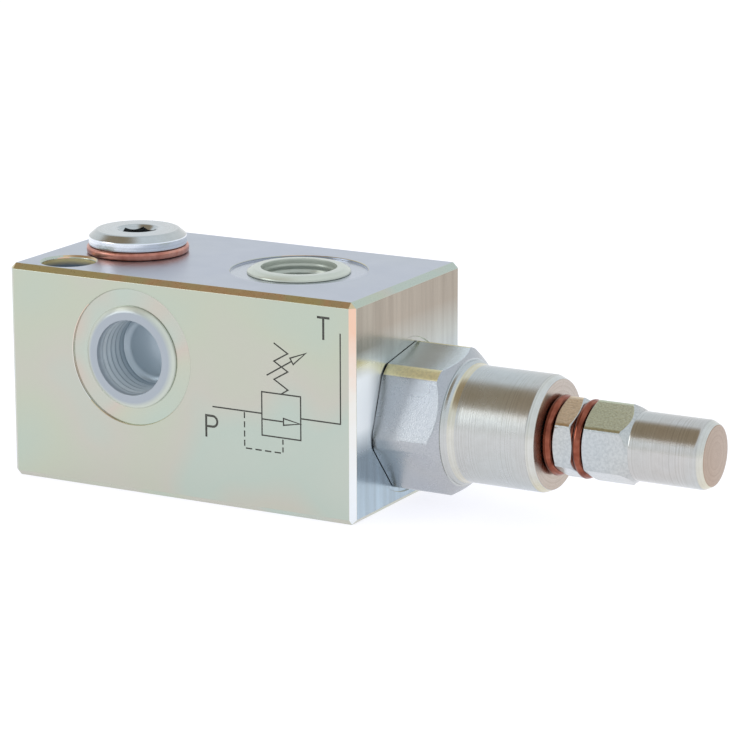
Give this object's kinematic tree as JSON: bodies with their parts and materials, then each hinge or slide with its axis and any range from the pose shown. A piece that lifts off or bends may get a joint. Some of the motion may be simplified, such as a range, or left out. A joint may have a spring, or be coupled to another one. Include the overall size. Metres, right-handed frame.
{
  "type": "hydraulic relief valve",
  "caption": "Direct-acting hydraulic pressure relief valve: square ported steel block with a screwed-in, cap-covered adjustable spring cartridge.",
  "frame": {"origin": "centre of the block's bottom face", "axes": "+X along the cartridge towards its cap nut, -Y out of the face with the pressure port, +Z out of the face with the tank port and the plug"},
  "size_m": [0.1315, 0.0406, 0.0443],
  "materials": {
    "plated_block": "satin",
    "plated_bright": "semi-gloss",
    "copper": "satin",
    "hard_steel": "polished",
    "spring_steel": "satin",
    "rubber": "matte",
    "white_plastic": "matte",
    "clear_plastic": "glossy"
  },
  "bodies": {
    "block": {"valve_body": "plated_block", "spring_housing": "plated_bright", "housing_o_ring": "rubber", "valve_seat": "hard_steel", "seat_o_ring": "rubber", "seat_backup_ring": "white_plastic", "main_spring": "spring_steel", "adjuster_washer": "copper"},
    "poppet_group": {"poppet": "hard_steel", "centring_ball": "hard_steel", "spring_seat": "hard_steel"},
    "plate_group": {"upper_spring_plate": "hard_steel", "plate_o_ring": "rubber", "spring_shim": "hard_steel"},
    "screw": {"adjusting_screw": "hard_steel"},
    "lock_nut": {"lock_nut": "plated_bright"},
    "cap_ring": {"cap_washer": "copper"},
    "cap": {"cap_nut": "plated_bright"},
    "plug_ring": {"port_plug_washer": "copper"},
    "plug": {"port_plug": "plated_bright"},
    "pressure_cap": {"pressure_port_cap": "clear_plastic"},
    "tank_cap": {"tank_port_cap": "clear_plastic"}
  },
  "joints": [
    {"name": "poppet_lift", "type": "slide", "parent": "block", "child": "poppet_group", "axis": [1, 0, 0], "range_m": [0, 0.002], "stiffness_N_per_m": 20000, "deforming": ["main_spring"]},
    {"name": "screw_advance", "type": "slide", "parent": "block", "child": "plate_group", "axis": [-1, 0, 0], "range_m": [-0.0012, 0.004], "deforming": ["main_spring"]},
    {"name": "screw_turn", "type": "hinge", "parent": "plate_group", "child": "screw", "pos_m": [0, 0, 0.0159], "axis": [-1, 0, 0], "range_deg": [-346, 1153]},
    {"name": "lock_nut_turn", "type": "hinge", "parent": "block", "child": "lock_nut", "pos_m": [0, 0, 0.0159], "axis": [1, 0, 0], "range_deg": [0, 60]},
    {"name": "cap_advance", "type": "slide", "parent": "block", "child": "cap_ring", "axis": [1, 0, 0], "range_m": [0, 0.0125]},
    {"name": "cap_turn", "type": "hinge", "parent": "cap_ring", "child": "cap", "pos_m": [0, 0, 0.0159], "axis": [1, 0, 0], "range_deg": [0, 3601]},
    {"name": "plug_advance", "type": "slide", "parent": "block", "child": "plug_ring", "axis": [0, 0, 1], "range_m": [0, 0.00935]},
    {"name": "plug_turn", "type": "hinge", "parent": "plug_ring", "child": "plug", "pos_m": [-0.0208, 0, 0.04], "axis": [0, 0, 1], "range_deg": [0, 2519]},
    {"name": "pressure_cap_pull", "type": "slide", "parent": "block", "child": "pressure_cap", "axis": [0, -1, 0], "range_m": [0, 0.011]},
    {"name": "tank_cap_pull", "type": "slide", "parent": "block", "child": "tank_cap", "axis": [0, 0, 1], "range_m": [0, 0.011]}
  ],
  "couplings": [
    {"joint": "screw_turn", "follows": "screw_advance", "rad_per_m": 5026.5},
    {"joint": "cap_turn", "follows": "cap_advance", "rad_per_m": 5026.5},
    {"joint": "plug_turn", "follows": "plug_advance", "rad_per_m": 4699.5}
  ]
}
